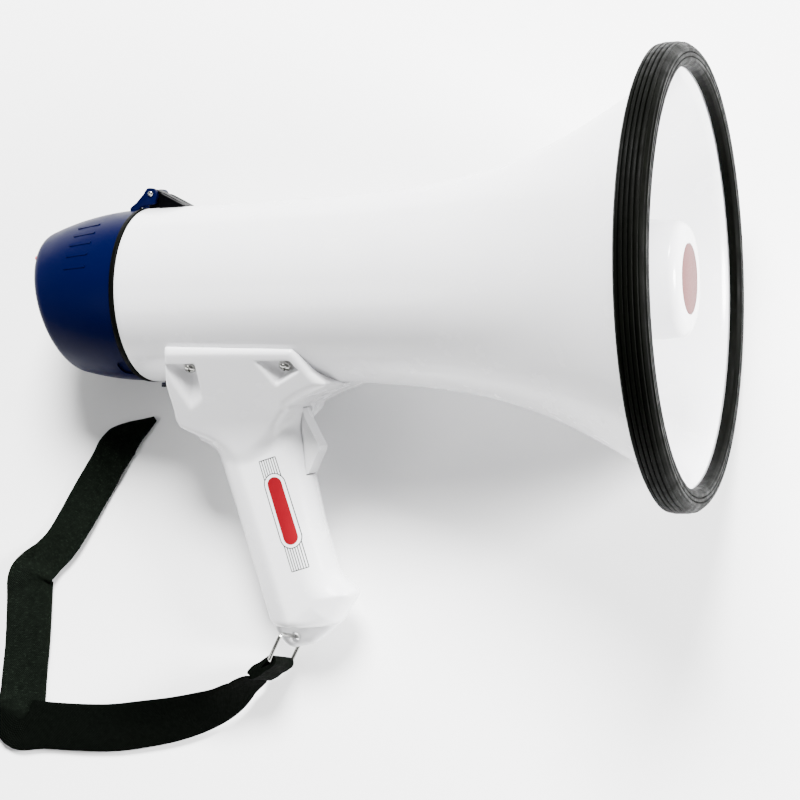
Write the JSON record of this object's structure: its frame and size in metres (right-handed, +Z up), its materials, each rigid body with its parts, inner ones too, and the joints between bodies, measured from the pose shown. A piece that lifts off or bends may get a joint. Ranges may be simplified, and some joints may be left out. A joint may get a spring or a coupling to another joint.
{
  "type": "handheld megaphone",
  "caption": "Handheld megaphone with a flared horn, hinged rear cover with slide volume and push keys, pistol grip with trigger and music keys, and a webbing wrist strap.",
  "frame": {"origin": "middle of the footprint of the megaphone, without its strap, on the surface it lies on", "axes": "+Z up from the table, the megaphone lying on its left side; +X is the level direction nearest the horn's axis, towards the mouth; +Y completes the frame, away from the grip"},
  "size_m": [0.3948, 0.3568, 0.2265],
  "materials": {
    "shell_white": "moulded, glossy",
    "cover_blue": "moulded, glossy",
    "key_blue": "moulded, glossy",
    "label_grey": "printed film",
    "badge_salmon": "printed disc",
    "rubber_black": "moulded",
    "key_white": "moulded, satin",
    "lamp_red": "clear tinted",
    "lamp_dark": "clear tinted",
    "chrome_steel": "plated",
    "spring_steel": "drawn wire",
    "plain_steel": "zinc plated",
    "ferrite": "sintered",
    "copper": "wound wire",
    "contact_brass": "stamped",
    "cone_film": "pressed film",
    "frame_black": "moulded",
    "cell_wrap": "plain wrap",
    "circuit_green": "solder mask",
    "part_black": "moulded",
    "webbing_black": "woven"
  },
  "bodies": {
    "root": {"horn_body": "shell_white", "throat_horn": "shell_white", "reflector": "shell_white", "handle_left": "shell_white", "handle_right": "shell_white", "reflector_badge": "badge_salmon", "bell_rim": "rubber_black", "body_gasket": "rubber_black", "music_lamp": "lamp_dark", "saddle_screws": "chrome_steel", "saddle_washers": "chrome_steel", "handle_screws": "chrome_steel", "battery_springs": "spring_steel", "latch_spring": "spring_steel", "trigger_spring": "spring_steel", "hinge_pin": "plain_steel", "trigger_pin": "plain_steel", "driver_screws": "plain_steel", "driver_top_plate": "plain_steel", "driver_back_plate": "plain_steel", "driver_magnet": "ferrite", "voice_coil": "copper", "battery_contacts": "contact_brass", "diaphragm": "cone_film", "hinge_bracket": "frame_black", "driver_frame": "frame_black", "battery_carrier": "frame_black", "battery_bulkhead": "frame_black", "board_spacers": "frame_black", "battery_cells": "cell_wrap", "amplifier_board": "circuit_green", "music_board": "circuit_green", "amplifier_parts": "part_black", "trigger_switch": "part_black", "strap_neck": "webbing_black", "wrist_strap": "webbing_black"},
    "lid": {"rear_cover": "cover_blue", "control_label": "label_grey", "switch_bank": "part_black", "volume_potentiometer": "part_black", "status_lamps": "lamp_red", "microphone": "part_black", "microphone_boot": "rubber_black", "control_board": "circuit_green", "board_screws": "plain_steel"},
    "power_key": {"power_button": "key_blue"},
    "siren_key": {"siren_button": "key_blue"},
    "record_key": {"record_button": "key_blue"},
    "play_key": {"play_button": "key_blue"},
    "volume_slider": {"volume_knob": "frame_black"},
    "latch": {"latch_button": "key_blue"},
    "trigger_lever": {"trigger": "key_white"},
    "mode_key": {"mode_button": "key_white"},
    "previous_key": {"previous_button": "key_white"},
    "pause_key": {"pause_button": "key_white"},
    "next_key": {"next_button": "key_white"},
    "ring": {"strap_ring": "chrome_steel", "strap_loop": "webbing_black"}
  },
  "joints": [
    {"name": "lid_hinge", "type": "hinge", "parent": "root", "child": "lid", "pos_m": [-0.12499, 0.08926, 0.06439], "axis": [0.2144, 0.2861, -0.9339], "range_deg": [0, 100]},
    {"name": "latch_slide", "type": "slide", "parent": "root", "child": "latch", "axis": [0.9746, 0, 0.2237], "range_m": [0, 0.0035], "stiffness_N_per_m": 600},
    {"name": "trigger_squeeze", "type": "hinge", "parent": "root", "child": "trigger_lever", "pos_m": [-0.04072, -0.0239, 0.04906], "axis": [0.2144, 0.2861, -0.9339], "range_deg": [0, 8], "stiffness_Nm_per_rad": 1},
    {"name": "ring_swing", "type": "hinge", "parent": "root", "child": "ring", "pos_m": [-0.03858, -0.13691, 0.02227], "axis": [0.2375, 0.0878, -0.9674], "range_deg": [-20, 20]},
    {"name": "volume_slide", "type": "slide", "parent": "lid", "child": "volume_slider", "axis": [-0.2144, -0.2861, 0.9339], "range_m": [0, 0.0236]},
    {"name": "power_press", "type": "slide", "parent": "lid", "child": "power_key", "axis": [0.9328, 0.2237, 0.2827], "range_m": [0, 0.0025], "stiffness_N_per_m": 600},
    {"name": "siren_press", "type": "slide", "parent": "lid", "child": "siren_key", "axis": [0.9328, 0.2237, 0.2827], "range_m": [0, 0.0025], "stiffness_N_per_m": 600},
    {"name": "record_press", "type": "slide", "parent": "lid", "child": "record_key", "axis": [0.9328, 0.2237, 0.2827], "range_m": [0, 0.0025], "stiffness_N_per_m": 600},
    {"name": "play_press", "type": "slide", "parent": "lid", "child": "play_key", "axis": [0.9328, 0.2237, 0.2827], "range_m": [0, 0.0025], "stiffness_N_per_m": 600},
    {"name": "mode_press", "type": "slide", "parent": "root", "child": "mode_key", "axis": [0.9178, 0.268, 0.2928], "range_m": [0, 0.0008], "stiffness_N_per_m": 800},
    {"name": "previous_press", "type": "slide", "parent": "root", "child": "previous_key", "axis": [0.9178, 0.268, 0.2928], "range_m": [0, 0.0008], "stiffness_N_per_m": 800},
    {"name": "pause_press", "type": "slide", "parent": "root", "child": "pause_key", "axis": [0.9178, 0.268, 0.2928], "range_m": [0, 0.0008], "stiffness_N_per_m": 800},
    {"name": "next_press", "type": "slide", "parent": "root", "child": "next_key", "axis": [0.9178, 0.268, 0.2928], "range_m": [0, 0.0008], "stiffness_N_per_m": 800}
  ]
}
